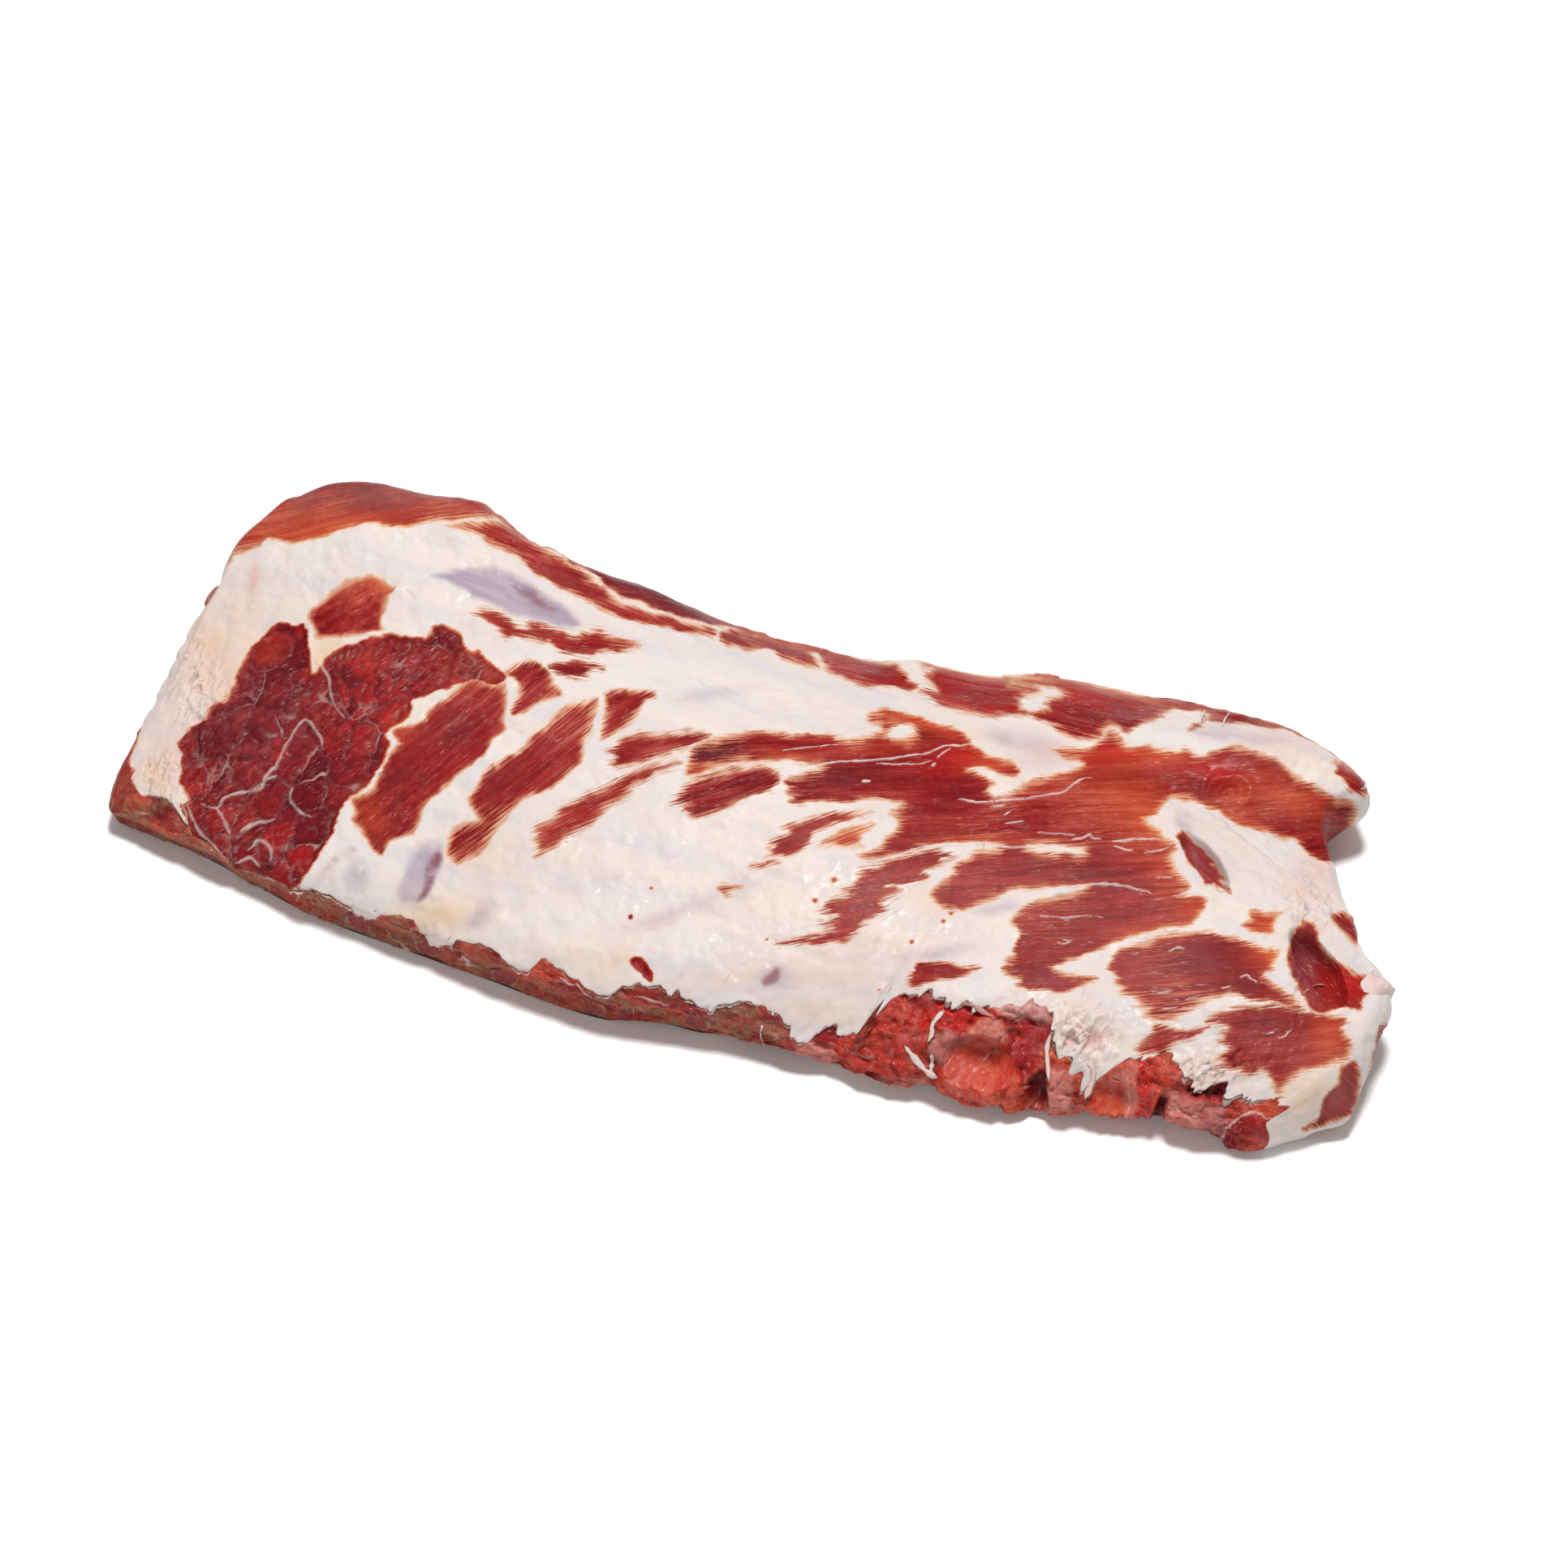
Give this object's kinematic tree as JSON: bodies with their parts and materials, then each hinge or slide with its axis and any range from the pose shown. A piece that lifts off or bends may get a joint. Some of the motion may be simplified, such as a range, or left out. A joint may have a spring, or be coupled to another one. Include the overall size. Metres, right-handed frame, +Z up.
{
  "type": "raw pork rib slab",
  "caption": "Raw slab of pork ribs lying bone side down: marbled lean and white fat arched over curved rib bones, sawn along one edge and torn at a corner.",
  "frame": {"origin": "on the floor under the middle of the outline", "axes": "+X along the slab, +Y from the sawn edge to the far edge, +Z up out of the lean side"},
  "size_m": [0.4616, 0.2175, 0.0662],
  "materials": {
    "meat": "moist raw pork, lean streaked with white fat",
    "fat": "soft white fat with a slight sheen",
    "bone": "sawn bone, porous and moist",
    "cartilage": "smooth, slightly translucent cartilage"
  },
  "bodies": {
    "root": {"meat_slab": "meat", "rib_bone_01": "bone", "rib_bone_02": "bone", "rib_bone_03": "bone", "rib_bone_04": "bone", "rib_bone_05": "bone", "rib_bone_06": "bone", "rib_bone_07": "bone", "rib_bone_08": "bone", "cartilage_block": "cartilage", "shoulder_bone_end": "bone"}
  },
  "joints": []
}
